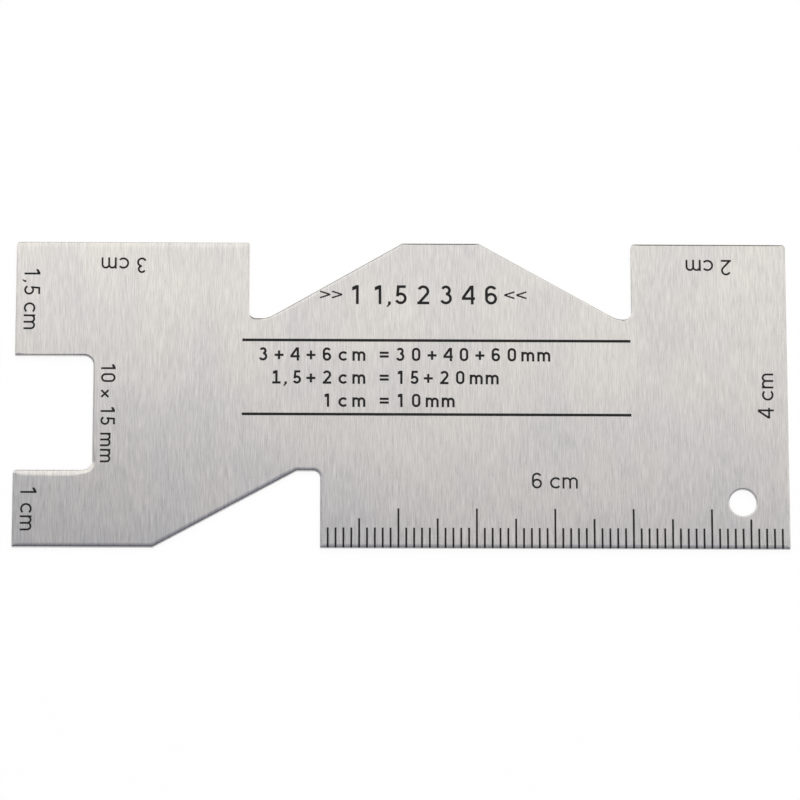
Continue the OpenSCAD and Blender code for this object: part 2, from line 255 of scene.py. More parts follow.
def outline_ring(profiles, k):
    """Each vertex of ring k as its place and its point of the profile, anticlockwise."""
    corners = [Vector(corner[:2]) for corner in CORNERS]
    corners = [corners[-1]] + corners + corners[:2]
    ring = []
    for i, (*_, radius, kind) in enumerate(CORNERS):
        before, at, after, last = corners[i:i + 4]
        own = profiles[kind][k]
        shared = (profiles[CORNERS[i - 1][3]][k] + own) / 2
        ring += [(place, shared) for place in corner_arc(before, at, after, radius, shared.x)]

        way = (after - at).normalized()
        next_r = CORNERS[(i + 1) % len(CORNERS)][2]
        start = at + way * radius * math.tan(abs(turn_at(before, at, after)) / 2)
        end = after - way * next_r * math.tan(abs(turn_at(at, after, last)) / 2)
        settle_l = min(SETTLE_L, (end - start).length / 3)
        inward = left_of(way) * own.x
        ring += [(start + way * settle_l + inward, own), (end - way * settle_l + inward, own)]
    return [(place - CENTRE, point) for place, point in ring]


def hole_ring(profiles, k):
    """Ring k round the hole, clockwise, so that the steel lies on the left of both rings."""
    point = profiles[HOLE_ROLL][k]
    spoke = Vector((HOLE_D / 2 + point.x, 0))
    turns = [Matrix.Rotation(-math.tau * j / HOLE_POINTS, 2) for j in range(HOLE_POINTS)]
    return [(HOLE_MIDDLE + turn @ spoke, point) for turn in turns]


outline_points = len(outline_ring(PROFILES, 0))
print("rings:", outline_points, "points round the outline and", HOLE_POINTS, "round the hole")

# %% [markdown]
# ## The blanked plate
#
# The plate is the stack of these rings, closed by one flat face above and one below. Each vertex
# keeps how far it is rolled as an attribute, so that the material can tell the level face from
# the polished roll and the cut wall.

# %% Stack the rings into a closed plate


def join_rings(bm, low, high):
    """A band of smooth faces between two rings with the same number of points."""
    for i in range(len(low)):
        face = bm.faces.new((low[i - 1], low[i], high[i], high[i - 1]))
        face.smooth = True


def close_rings(bm, rings, up):
    """A flat face between the outline's ring and the hole's ring."""
    edges = [bm.edges.get((ring[i - 1], ring[i])) for ring in rings for i in range(len(ring))]
    made = bmesh.ops.triangle_fill(bm, use_beauty=True, use_dissolve=False, edges=edges)
    for face in (f for f in made["geom"] if isinstance(f, bmesh.types.BMFace)):
        face.normal_update()
        if (face.normal.z > 0) != up:
            face.normal_flip()
        face.smooth = False


def build_plate():
    """The plate's mesh, with how far each vertex is rolled."""
    bm = bmesh.new()
    rolled_layer = bm.verts.layers.float.new("rolled")
    ends = []
    for ring_of in (outline_ring, hole_ring):
        rings = []
        for k in range(PROFILE_POINTS):
            ring = []
            for place, (_, height, rolled) in ring_of(PROFILES, k):
                ring.append(bm.verts.new((place.x * MM, place.y * MM, height * MM)))
                ring[-1][rolled_layer] = rolled
            rings.append(ring)
        for low, high in zip(rings, rings[1:]):
            join_rings(bm, low, high)
        ends.append((rings[0], rings[-1]))
    close_rings(bm, [low for low, high in ends], up=False)
    close_rings(bm, [high for low, high in ends], up=True)
    return bm


plate_bm = build_plate()
plate_volume = plate_bm.calc_volume(signed=True) / MM**3
print("plate:", len(plate_bm.faces), "faces, volume", round(plate_volume, 1), "mm3")

# %% [markdown]
# ## A flat map of the plate
#
# The highlight of brushed steel is drawn out across its grain, and the shader finds that
# direction from a UV map. The map is kept per face corner. The broad faces take their own place in
# the plane. The edge is unrolled: a point that lies some way down the roll or the wall is laid
# that much further out, so that the grain has a direction there too.

# %% Unroll the plate into a UV map
UV_PER_M = 10
UV_MIDDLE = 0.5
LOWER_FACE_SHIFT = 0.5


def unrolled(profile):
    """The profile with the insets it has once the edge is laid flat beside the upper face."""
    flat = [profile[-1]]
    for point, above in zip(profile[-2::-1], profile[:0:-1]):
        length = math.hypot(above.x - point.x, above.y - point.y)
        flat.append(Vector((flat[-1].x - length, 0, 0)))
    return flat[::-1]


def lay_out(bm):
    """Fills the UV map. The plate's vertices are in the order in which the rings made them."""
    uv_layer = bm.loops.layers.uv.new("grain")
    flat = {kind: unrolled(profile) for kind, profile in PROFILES.items()}
    places = {}
    verts = iter(bm.verts)
    for ring_of in (outline_ring, hole_ring):
        for k in range(PROFILE_POINTS):
            for place, _ in ring_of(flat, k):
                places[next(verts)] = place * MM
    for face in bm.faces:
        lower = not face.smooth and face.normal.z < 0
        for loop in face.loops:
            place = loop.vert.co.xy if lower else places[loop.vert]
            middle = Vector((UV_MIDDLE, UV_MIDDLE - LOWER_FACE_SHIFT * lower))
            loop[uv_layer].uv = place * UV_PER_M + middle


lay_out(plate_bm)
plate_mesh = bpy.data.meshes.new("blanked_plate")
plate_bm.to_mesh(plate_mesh)
plate_bm.free()
plate = bpy.data.objects.new("blanked_plate", plate_mesh)
bpy.context.scene.collection.objects.link(plate)
unrolled_w = PROFILES["plain"][-1].x - unrolled(PROFILES["plain"])[0].x
print("unrolled edge:", round(unrolled_w, 2), "mm from face to face")

# %% [markdown]
# ## Reading the ruler back from the frame
#
# The ticks are printed right down over the roll of the ruler edge, so they can't stay the flat
# strips that the CAD model has. Their sizes do stay: the widths of the frame's boxes give the
# pitch and the width of a tick, because the rows of ticks span a different number of pitches.

# %% Measure the ticks
# The pitches from the first tick to the last one, in the shortest and in the longest row
MM_SPAN = 58
CM_SPAN = 40
# Each row takes every so many places, but not those that a longer row takes
NO_LONGER_ROW = 1000
TICK_ROWS = {
    "millimetre_ticks": (1, 5),
    "half_centimetre_ticks": (5, 10),
    "centimetre_ticks": (10, NO_LONGER_ROW),
}


def box_size(node):
    """The size of a CAD node's box."""
    low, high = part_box(node)
    return high - low


mm_w = box_size("millimetre_ticks").x
cm_w = box_size("centimetre_ticks").x
tick_pitch = (mm_w - cm_w) / (MM_SPAN - CM_SPAN)
tick_w = cm_w - CM_SPAN * tick_pitch
first_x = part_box("millimetre_ticks")[0].x + tick_w / 2
ink_t = box_size("millimetre_ticks").z
print("ticks:", MM_SPAN + 1, "places, pitch, width and ink in mm:", in_mm((tick_pitch, tick_w, ink_t)))

# %% [markdown]
# ## Helpers for building a node tree
#
# This lesson builds a modifier, two shader groups and a few materials from nodes. Four small
# helpers keep those cells readable: one makes a tree with named sockets, one adds a node and
# fills its inputs in the same line, one does a sum, and one hands out a tree's results.

# %% Write the helpers for node trees


def new_tree(name, kind, inputs, outputs):
    """A node tree with named sockets. Each is given as (name, socket type, default or None)."""
    tree = bpy.data.node_groups.new(name, kind)
    for direction, sockets in (("INPUT", inputs), ("OUTPUT", outputs)):
        for title, socket_type, default in sockets:
            socket = tree.interface.new_socket(title, in_out=direction, socket_type=socket_type)
            if default is not None:
                socket.default_value = default
    return tree


def add_node(tree, kind, settings=None, **inputs):
    """A node with its properties set and its inputs linked or filled.

    An input is given by its name, with _ for a space, or by its number, as i0 or i1.
    """
    node = tree.nodes.new(kind)
    for name, value in (settings or {}).items():
        setattr(node, name, value)
    for name, value in inputs.items():
        key = int(name[1:]) if name[0] == "i" and name[1:].isdigit() else name.replace("_", " ")
        socket = node.inputs[key]
        if isinstance(value, bpy.types.NodeSocket):
            tree.links.new(value, socket)
        else:
            socket.default_value = value
    return node


def calc(tree, operation, *values, clamp=False):
    """A Math node's result."""
    settings = {"operation": operation, "use_clamp": clamp}
    filled = {f"i{i}": value for i, value in enumerate(values)}
    return add_node(tree, "ShaderNodeMath", settings, **filled).outputs[0]


def put_out(tree, **outputs):
    """Links each result to the tree's output of that name."""
    result = tree.nodes.new("NodeGroupOutput")
    for name, socket in outputs.items():
        tree.links.new(socket, result.inputs[name])


print("helpers: new_tree, add_node, calc, put_out")

# %% [markdown]
# ## A Geometry Nodes tree for the ticks
#
# Fifty-nine ticks that differ only in length are a job for Geometry Nodes. The tree makes one
# slim box with many cross sections, bends it down over the roll with the same ellipse as the
# plate, and puts a copy at each place that the row asks for. A row takes every so many places,
# and leaves out those that belong to the next longer row. The box's own Y runs from one end of
# the tick to the other. Squaring its share of the length crowds the cross sections towards the
# ruler edge, where the roll bends most.

# %% Build the tree that prints a row of ticks
ticks_tree = new_tree("ruler_ticks", "GeometryNodeTree", [
    ("Geometry", "NodeSocketGeometry", None),
    ("Last Tick", "NodeSocketInt", 1),
    ("Every", "NodeSocketInt", 1),
    ("But Not Every", "NodeSocketInt", 5),
    ("First Place", "NodeSocketVector", None),
    ("Pitch", "NodeSocketFloat", 0.0),
    ("Tick Width", "NodeSocketFloat", 0.0),
    ("Tick Length", "NodeSocketFloat", 0.0),
    ("Ink Thickness", "NodeSocketFloat", 0.0),
    ("Roll Width", "NodeSocketFloat", 0.0),
    ("Roll Depth", "NodeSocketFloat", 0.0),
    ("Cross Sections", "NodeSocketInt", 24),
    ("Material", "NodeSocketMaterial", None),
], [("Geometry", "NodeSocketGeometry", None)])
tree = ticks_tree
given = tree.nodes.new("NodeGroupInput").outputs
tick_l = given["Tick Length"]
film_t = given["Ink Thickness"]

# One tick, bent down over the roll
bar_size = add_node(tree, "ShaderNodeCombineXYZ", X=given["Tick Width"], Y=tick_l, Z=film_t)
bar = add_node(tree, "GeometryNodeMeshCube", Size=bar_size.outputs[0],
               Vertices_Y=given["Cross Sections"])
position = tree.nodes.new("GeometryNodeInputPosition")
place = add_node(tree, "ShaderNodeSeparateXYZ", Vector=position.outputs[0])
share = calc(tree, "ADD", calc(tree, "DIVIDE", place.outputs["Y"], tick_l), 0.5)
from_edge = calc(tree, "MULTIPLY", calc(tree, "MULTIPLY", share, share), tick_l)
past_roll = calc(tree, "DIVIDE", from_edge, given["Roll Width"])
roll_share = calc(tree, "SUBTRACT", 1.0, past_roll, clamp=True)
level_square = calc(tree, "SUBTRACT", 1.0, calc(tree, "MULTIPLY", roll_share, roll_share))
level = calc(tree, "SQRT", level_square)
drop = calc(tree, "MULTIPLY", given["Roll Depth"], calc(tree, "SUBTRACT", 1.0, level))
film = calc(tree, "ADD", place.outputs["Z"], calc(tree, "MULTIPLY", film_t, 0.5))
bent = add_node(tree, "ShaderNodeCombineXYZ", X=place.outputs["X"], Y=from_edge,
                Z=calc(tree, "SUBTRACT", film, drop))
tick = add_node(tree, "GeometryNodeSetPosition", Geometry=bar.outputs["Mesh"],
                Position=bent.outputs[0])

# The places along the ruler, and those of them that this row takes
step = add_node(tree, "ShaderNodeCombineXYZ", X=given["Pitch"])
line = add_node(tree, "GeometryNodeMeshLine", {"mode": "OFFSET"}, Count=given["Last Tick"],
                Start_Location=given["First Place"], Offset=step.outputs[0])
index = tree.nodes.new("GeometryNodeInputIndex")
number = calc(tree, "ADD", index.outputs[0], 1.0)
taken = calc(tree, "LESS_THAN", calc(tree, "MODULO", number, given["Every"]), 0.5)
left_out = calc(tree, "LESS_THAN", calc(tree, "MODULO", number, given["But Not Every"]), 0.5)
chosen = calc(tree, "GREATER_THAN", calc(tree, "SUBTRACT", taken, left_out), 0.5)
row = add_node(tree, "GeometryNodeInstanceOnPoints", Points=line.outputs[0], Selection=chosen,
               Instance=tick.outputs[0])

# Real, inked geometry
real = add_node(tree, "GeometryNodeRealizeInstances", Geometry=row.outputs[0])
inked = add_node(tree, "GeometryNodeSetMaterial", Geometry=real.outputs[0],
                 Material=given["Material"])
put_out(tree, Geometry=inked.outputs[0])
print("ticks tree:", len(tree.nodes), "nodes")

# %% [markdown]
# ## The grain of the steel
#
# The sheet was brushed across the gauge, so its streaks run along Y. They are much longer than
# they are wide, some are deeper than others, and they fade in and out. The grain is a node group
# because the steel and the ink above it both use it, each with its own values. Noise whose
# coordinates are scaled more across the streaks than along them makes the streaks, in a fine and
# a broad layer. A slow layer makes the clouds of tone that a rolled sheet has, and a last one a
# few hair scratches.

# %% Build the grain group
BROAD_TIMES = 3.5
FINE_SHARE = 0.84
CLOUD_STRETCH = 1.3
HAIR_NARROWER = 0.5
HAIR_LONGER = 2.5
SCRATCH_START = 0.68
SCRATCH_FULL = 0.8
SCRATCH_DEPTH = 0.3

grain_group = new_tree("brushed_grain", "ShaderNodeTree", [
    ("Vector", "NodeSocketVector", None),
    ("Streak Width", "NodeSocketFloat", 0.16),
    ("Streak Length", "NodeSocketFloat", 3.0),
    ("Cloud Size", "NodeSocketFloat", 14.0),
], [
    ("Streaks", "NodeSocketFloat", None),
    ("Clouds", "NodeSocketFloat", None),
    ("Height", "NodeSocketFloat", None),
])
tree = grain_group
given = tree.nodes.new("NodeGroupInput").outputs


def stretched_noise(tree, vector, width, length, detail, roughness, seed):
    """Noise whose features are that wide along X and that long along Y, in millimetres."""
    across = calc(tree, "DIVIDE", 1 / MM, width)
    along = calc(tree, "DIVIDE", 1 / MM, length)
    scale = add_node(tree, "ShaderNodeCombineXYZ", X=across, Y=along, Z=across)
    moved = add_node(tree, "ShaderNodeVectorMath", {"operation": "MULTIPLY_ADD"}, i0=vector,
                     i1=scale.outputs[0], i2=(seed, seed * 2, seed * 3))
    noise = add_node(tree, "ShaderNodeTexNoise", {"noise_dimensions": "3D"}, Vector=moved.outputs[0],
                     Scale=1.0, Detail=detail, Roughness=roughness)
    return noise.outputs[0]


def times(name, factor):
    """One of the sizes that the group is given, times a factor."""
    return calc(tree, "MULTIPLY", given[name], factor)


fine = stretched_noise(tree, given["Vector"], given["Streak Width"], given["Streak Length"],
                       detail=2.0, roughness=0.6, seed=3.7)
broad = stretched_noise(tree, given["Vector"], times("Streak Width", BROAD_TIMES),
                        times("Streak Length", BROAD_TIMES), detail=1.0, roughness=0.5, seed=11.3)
clouds = stretched_noise(tree, given["Vector"], given["Cloud Size"], times("Cloud Size", CLOUD_STRETCH),
                         detail=1.0, roughness=0.5, seed=23.1)
hairs = stretched_noise(tree, given["Vector"], times("Streak Width", HAIR_NARROWER),
                        times("Streak Length", HAIR_LONGER), detail=0.0, roughness=0.5, seed=41.9)

streaks = calc(tree, "ADD", calc(tree, "MULTIPLY", fine, FINE_SHARE),
               calc(tree, "MULTIPLY", broad, 1 - FINE_SHARE))
scratches = add_node(tree, "ShaderNodeMapRange", Value=hairs, From_Min=SCRATCH_START,
                     From_Max=SCRATCH_FULL)
cut = calc(tree, "MULTIPLY", scratches.outputs[0], SCRATCH_DEPTH)
put_out(tree, Streaks=streaks, Clouds=clouds, Height=calc(tree, "SUBTRACT", streaks, cut))
print("grain group:", len(tree.nodes), "nodes")

# %% [markdown]
# ## The edge of a blanked sheet
#
# Three finishes meet at the edge. Tumbling has polished the roll, so the grain fades there. Below
# it the punch left a smooth, burnished band on the wall, and the lower part of the wall broke
# away rough and dull. The group turns the rolled attribute and the height on the wall into masks
# for these, and the broken band's mask also carries painted shade for the foot of the cut. The
# line between the two bands is ragged, so a little noise moves it up and down.

# %% Build the edge group
# A point is on the wall where its rolled attribute is 1, or a hair less after interpolation
WALL_START = 0.999
RAGGED_PER_MM = 2.2
RAGGED_HEIGHT = 0.12
BAND_BLUR = 0.04

edge_group = new_tree("blanked_edge", "ShaderNodeTree", [
    ("Wall Share", "NodeSocketFloat", 0.0),
    ("Vector", "NodeSocketVector", None),
    ("Burnish Height", "NodeSocketFloat", 0.33),
], [
    ("Rolled", "NodeSocketFloat", None),
    ("Broken", "NodeSocketFloat", None),
    ("Level", "NodeSocketFloat", None),
])
tree = edge_group
given = tree.nodes.new("NodeGroupInput").outputs
burnish_h = given["Burnish Height"]

rolled = add_node(tree, "ShaderNodeMapRange", {"interpolation_type": "SMOOTHSTEP"},
                  Value=given["Wall Share"]).outputs[0]
on_wall = calc(tree, "GREATER_THAN", given["Wall Share"], WALL_START)
spot = add_node(tree, "ShaderNodeSeparateXYZ", Vector=given["Vector"])
plan = add_node(tree, "ShaderNodeVectorMath", {"operation": "MULTIPLY"}, i0=given["Vector"],
                i1=(1 / MM, 1 / MM, 0.0))
ragged = add_node(tree, "ShaderNodeTexNoise", Vector=plan.outputs[0], Scale=RAGGED_PER_MM, Detail=4.0)
wander = calc(tree, "MULTIPLY", calc(tree, "SUBTRACT", ragged.outputs[0], 0.5), RAGGED_HEIGHT)
wall_height = calc(tree, "ADD", calc(tree, "DIVIDE", spot.outputs["Z"], MM), wander)
# The broken band below the burnished one, which the steel makes rough and also darkens as painted shade
below = add_node(tree, "ShaderNodeMapRange", Value=wall_height, From_Min=burnish_h,
                 From_Max=calc(tree, "SUBTRACT", burnish_h, BAND_BLUR))
put_out(tree, Rolled=rolled, Broken=calc(tree, "MULTIPLY", on_wall, below.outputs[0]),
        Level=calc(tree, "SUBTRACT", 1.0, rolled))
print("edge group:", len(tree.nodes), "nodes")

# %% [markdown]
# ## Helpers for a material
#
# A material starts from its Principled BSDF, which stays in the material itself, while the groups
# above only hand it colours, values and masks. What is the same all over a surface is set on the
# shader's own socket.

# %% Write the helpers for materials


def mixed(tree, kind, factor, first, second, blend="MIX"):
    """A Mix node's result, for colours or for numbers."""
    settings = {"data_type": kind, "blend_type": blend} if kind == "RGBA" else {"data_type": kind}
    node = add_node(tree, "ShaderNodeMix", settings)
    base = {"FLOAT": 2, "RGBA": 6}[kind]
    for index, value in ((0, factor), (base, first), (base + 1, second)):
        if isinstance(value, bpy.types.NodeSocket):
            tree.links.new(value, node.inputs[index])
        else:
            node.inputs[index].default_value = value
    return node.outputs[{"FLOAT": 0, "RGBA": 2}[kind]]


def in_range(tree, value, low, high):
    """The value's share of the way from low to high, kept between 0 and 1."""
    return add_node(tree, "ShaderNodeMapRange", Value=value, From_Min=low, From_Max=high).outputs[0]


def new_material(name):
    """A new material, its node tree and its Principled BSDF."""
    material = bpy.data.materials.new(name)
    material.use_nodes = True
    tree = material.node_tree
    return material, tree, tree.nodes["Principled BSDF"]


def use_group(tree, group, **inputs):
    """The outputs of a node group that is placed in the tree with its own values."""
    return add_node(tree, "ShaderNodeGroup", {"node_tree": group}, **inputs).outputs


def set_shader(tree, surface, **inputs):
    """Links a result to the shader's input of that name, or sets the input to a plain value."""
    for name, value in inputs.items():
        socket = surface.inputs[name.replace("_", " ")]
        if isinstance(value, bpy.types.NodeSocket):
            tree.links.new(value, socket)
        else:
            socket.default_value = value


print("helpers: mixed, in_range, new_material, use_group, set_shader")

# %% [markdown]
# ## The steel
#
# Stainless steel is a metal with a pale, slightly warm colour. The streaks change its tone, and
# the clouds warm or cool it by a hundredth. Anisotropy draws the highlight out across the grain,
# with the UV map as its direction. The broken part of the wall is rough and dull, and its dark
# colour is also painted shade, for the shade that lies along the foot of the cut. A blanked sheet
# is never quite flat either: the end with the arms is domed, by not quite two hundredths of a
# radian at its edges, which a second, slow bump stands for.

# %% Make the brushed steel
STEEL = (0.98, 0.943, 0.892, 1)
STEEL_SHADE = (0.705, 0.685, 0.66, 1)
# The broken wall's colour: dull fracture, darkened further as painted shade for the foot of the cut
BROKEN_STEEL_AND_PAINTED_SHADE = (0.20, 0.19, 0.19, 1)
COOL_TINT = (0.99, 0.993, 1.0, 1)
WARM_TINT = (1.01, 1.0, 0.985, 1)
STREAK_CONTRAST = 3.0
CLOUD_CONTRAST = 0.5
DARK_TONE = -0.25
PALE_TONE = 0.75
COOL_CLOUD = 0.35
WARM_CLOUD = 0.65

FACE_ROUGH = 0.23
STREAK_ROUGH = 0.12
ROLL_ROUGH = 0.27
BROKEN_ROUGH = 0.62
DRAWN_OUT = 0.8
GRAIN_BUMP = 0.12
GRAIN_DEPTH = 0.02

# The dome's curvature across the gauge, and where along the gauge it is full and gone, in
# millimetres
DOME_PER_MM = 0.0009
DOME_FULL_X = -45
DOME_GONE_X = -18

steel, tree, surface = new_material("brushed_steel")
coords = tree.nodes.new("ShaderNodeTexCoord").outputs["Object"]
wall_share = add_node(tree, "ShaderNodeAttribute", {"attribute_name": "rolled"}).outputs["Fac"]
grain = use_group(tree, grain_group, Vector=coords, Streak_Width=0.105, Streak_Length=2.1,
                  Cloud_Size=9.0)
edge = use_group(tree, edge_group, Wall_Share=wall_share, Vector=coords)

streak_tone = calc(tree, "MULTIPLY", calc(tree, "SUBTRACT", grain["Streaks"], 0.5), STREAK_CONTRAST)
tone = calc(tree, "ADD", streak_tone, calc(tree, "MULTIPLY", grain["Clouds"], CLOUD_CONTRAST))
colour = mixed(tree, "RGBA", in_range(tree, tone, DARK_TONE, PALE_TONE), STEEL_SHADE, STEEL)
warmth = in_range(tree, grain["Clouds"], COOL_CLOUD, WARM_CLOUD)
tint = mixed(tree, "RGBA", warmth, COOL_TINT, WARM_TINT)
colour = mixed(tree, "RGBA", 1.0, colour, tint, blend="MULTIPLY")
# The broken band gets its dark colour, partly dull fracture and partly painted shade
colour = mixed(tree, "RGBA", edge["Broken"], colour, BROKEN_STEEL_AND_PAINTED_SHADE)

rough = calc(tree, "ADD", FACE_ROUGH, calc(tree, "MULTIPLY", grain["Streaks"], STREAK_ROUGH))
rough = mixed(tree, "FLOAT", edge["Rolled"], rough, ROLL_ROUGH)
rough = mixed(tree, "FLOAT", edge["Broken"], rough, BROKEN_ROUGH)

spot = add_node(tree, "ShaderNodeSeparateXYZ", Vector=coords)
across = calc(tree, "DIVIDE", spot.outputs["Y"], MM)
sag = calc(tree, "MULTIPLY", calc(tree, "MULTIPLY", across, across), -DOME_PER_MM / 2)
domed = add_node(tree, "ShaderNodeMapRange", {"interpolation_type": "SMOOTHSTEP"},
                 Value=spot.outputs["X"], From_Min=DOME_GONE_X * MM, From_Max=DOME_FULL_X * MM)
dome = add_node(tree, "ShaderNodeBump", Strength=1.0, Distance=MM,
                Height=calc(tree, "MULTIPLY", sag, domed.outputs[0]))
bump = add_node(tree, "ShaderNodeBump", Strength=GRAIN_BUMP, Distance=GRAIN_DEPTH * MM,
                Normal=dome.outputs[0], Height=calc(tree, "MULTIPLY", grain["Height"], edge["Level"]))
tangent = add_node(tree, "ShaderNodeTangent", {"direction_type": "UV_MAP", "uv_map": "grain"})

set_shader(tree, surface, Base_Color=colour, Roughness=rough, Normal=bump.outputs[0],
           Tangent=tangent.outputs[0], Metallic=1.0, Anisotropic=DRAWN_OUT)
plate.data.materials.append(steel)
print("steel:", len(tree.nodes), "nodes")

# %% [markdown]
# ## The ink
#
# The marks are printed in a satin black. The film is thin, so it follows the brushed face, and it
# is a little thinner in some places than in others. The same grain group gives it that
# unevenness, with shorter streaks and less depth.

# %% Make the printing ink
INK = (0.013, 0.013, 0.014, 1)
THIN_INK = (0.024, 0.023, 0.022, 1)
THIN_START = 0.45
THIN_FULL = 0.75
INK_ROUGH = 0.38
INK_CLOUD_ROUGH = 0.2
INK_BUMP = 0.1
INK_DEPTH = 0.01
INK_SPECULAR = 0.15

ink, tree, surface = new_material("printing_ink")
coords = tree.nodes.new("ShaderNodeTexCoord").outputs["Object"]
grain = use_group(tree, grain_group, Vector=coords, Streak_Width=0.12, Streak_Length=0.8,
                  Cloud_Size=3.0)
thin = in_range(tree, grain["Streaks"], THIN_START, THIN_FULL)
rough = calc(tree, "ADD", INK_ROUGH, calc(tree, "MULTIPLY", grain["Clouds"], INK_CLOUD_ROUGH))
bump = add_node(tree, "ShaderNodeBump", Strength=INK_BUMP, Distance=INK_DEPTH * MM,
                Height=grain["Height"])
set_shader(tree, surface, Base_Color=mixed(tree, "RGBA", thin, INK, THIN_INK), Roughness=rough,
           Normal=bump.outputs[0], Specular_IOR_Level=INK_SPECULAR)
print("ink:", len(tree.nodes), "nodes")

# %% [markdown]
# ## Printing the ruler
#
# Each row of ticks is an empty mesh with the tree as its modifier. The inputs are set by the
# sockets' identifiers, the evaluated result becomes a plain mesh, and the modifier goes before
# the piece joins the frame.

# %% Run the tree once for each row of ticks
CROSS_SECTIONS = 24


def set_inputs(modifier, values):
    """Sets each named input of a Geometry Nodes modifier."""
    for item in modifier.node_group.interface.items_tree:
        if item.item_type == "SOCKET" and item.in_out == "INPUT" and item.name in values:
            modifier[item.identifier] = values[item.name]


def make_plain(obj):
    """Turns what the modifiers make into the object's own mesh."""
    depsgraph = bpy.context.evaluated_depsgraph_get()
    mesh = bpy.data.meshes.new_from_object(obj.evaluated_get(depsgraph))
    obj.modifiers.clear()
    obj.data = mesh
    mesh.name = obj.name


def print_ticks(node, every, but_not_every):
    """One row of ticks, in place of the CAD node of that name."""
    row = bpy.data.objects.new(node.replace("ticks", "tick_marks"), bpy.data.meshes.new(node))
    bpy.context.scene.collection.objects.link(row)
    modifier = row.modifiers.new("ticks", "NODES")
    modifier.node_group = ticks_tree
    roll_w, roll_depth, _ = ROLLS[RULER_ROLL]
    set_inputs(modifier, {
        "Last Tick": MM_SPAN + 1,
        "Every": every,
        "But Not Every": but_not_every,
        "First Place": (first_x, plate_low.y, plate_high.z),
        "Pitch": tick_pitch,
        "Tick Width": tick_w,
        "Tick Length": box_size(node).y,
        "Ink Thickness": ink_t,
        "Roll Width": roll_w * MM,
        "Roll Depth": roll_depth * MM,
        "Cross Sections": CROSS_SECTIONS,
        "Material": ink,
    })
    make_plain(row)
    return row


tick_marks = {node: print_ticks(node, *rule) for node, rule in TICK_ROWS.items()}
for node, row in tick_marks.items():
    print(row.name, len(row.data.polygons), "faces, size", in_mm(row.dimensions))

# %% [markdown]
# ## Joining the pieces to the frame
#
# The plate and the ticks replace their CAD nodes. The labels, the table and the title lie on the
# level face, where the flat CAD letters are already right, so they only get the ink.

# %% Put every piece on the gauge
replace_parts(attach(plate, "root"), "gauge_plate")
for node, row in tick_marks.items():
    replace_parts(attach(row, "root"), node)

printed = [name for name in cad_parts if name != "gauge_plate" and name not in TICK_ROWS]
for name in printed:
    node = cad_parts[name]
    node.data.materials.clear()
    node.data.materials.append(ink)
print("printed nodes:", len(printed))

# %% [markdown]
# ## The camera
#
# The view is a product shot from nearly overhead with a long lens, tipped a little towards the
# ruler edge. The angles and the distance were solved from the printed widths, which are known
# lengths on a flat face.

# %% Place the camera
FRAME_PX = 800
FOCAL_PX = 4472.6
SENSOR_MM = 36
NEAREST_SEEN = 0.01
TIP = math.radians(12.636)
TURN = math.radians(-0.973)
SPIN = math.radians(-0.005)
AIM_POINT = Vector((0.4, 0, 0)) * MM
CAMERA_OFFSET = Vector((-0.588, -0.593, 573.82)) * MM

turned = Matrix.Rotation(TURN, 3, "Y") @ Matrix.Rotation(TIP, 3, "X") @ Matrix.Rotation(SPIN, 3, "Z")
camera_data = bpy.data.cameras.new("camera")
camera_data.sensor_width = SENSOR_MM
camera_data.lens = FOCAL_PX * SENSOR_MM / FRAME_PX
camera_data.clip_start = NEAREST_SEEN
camera = bpy.data.objects.new("camera", camera_data)
camera.matrix_world = Matrix.Translation(AIM_POINT + turned @ CAMERA_OFFSET) @ turned.to_4x4()
bpy.context.scene.collection.objects.link(camera)
bpy.context.scene.camera = camera
print("camera at", in_mm(camera.location), "mm, lens", round(camera_data.lens, 1), "mm")

# %% [markdown]
# ## The floor and the background
#
# The floor and the world are white for the camera and for reflections, through Light Path, and
# light the gauge at a plain level. A small part of the floor's white is real shading, so it keeps
# the gauge's soft shadow. The view transform is Standard, which shows a strength of 1 as white.

# %% Make the floor and the world
FLOOR_SIZE = 6.0
FLOOR_GAP = 0.01 * MM
FLOOR_GLOW = 0.94
FLOOR_ROUGH = 0.9
AMBIENT = 0.5
WHITE = (1, 1, 1, 1)
FLOOR_WHITE = (0.98, 0.98, 0.98, 1)


def seen_or_mirrored(tree):
    """1 for camera, glossy and transmission rays, and 0 for the rays that carry diffuse light."""
    path = tree.nodes.new("ShaderNodeLightPath").outputs
    mirrored = calc(tree, "MAXIMUM", path["Is Glossy Ray"], path["Is Transmission Ray"])
    return calc(tree, "MAXIMUM", path["Is Camera Ray"], mirrored)


bpy.ops.mesh.primitive_plane_add(size=FLOOR_SIZE, location=(0, 0, -FLOOR_GAP))
floor = bpy.context.object
floor.name = "floor"
white, tree, surface = new_material("white_floor")
set_shader(tree, surface, Base_Color=FLOOR_WHITE, Roughness=FLOOR_ROUGH, Specular_IOR_Level=0.0)
glow = add_node(tree, "ShaderNodeEmission", Color=WHITE, Strength=1.0)
glow_share = calc(tree, "MULTIPLY", seen_or_mirrored(tree), FLOOR_GLOW)
blend = add_node(tree, "ShaderNodeMixShader", i0=glow_share, i1=surface.outputs[0], i2=glow.outputs[0])
tree.links.new(blend.outputs[0], tree.nodes["Material Output"].inputs["Surface"])
floor.data.materials.append(white)

world = bpy.data.worlds.new("studio")
world.use_nodes = True
bpy.context.scene.world = world
tree = world.node_tree
ambient = tree.nodes["Background"]
set_shader(tree, ambient, Color=WHITE, Strength=AMBIENT)
backdrop = add_node(tree, "ShaderNodeBackground", Color=WHITE, Strength=1.0)
blend = add_node(tree, "ShaderNodeMixShader", i0=seen_or_mirrored(tree), i1=ambient.outputs[0],
                 i2=backdrop.outputs[0])
tree.links.new(blend.outputs[0], tree.nodes["World Output"].inputs["Surface"])
bpy.context.scene.view_settings.view_transform = "Standard"
print("floor", FLOOR_SIZE, "m, ambient", AMBIENT)

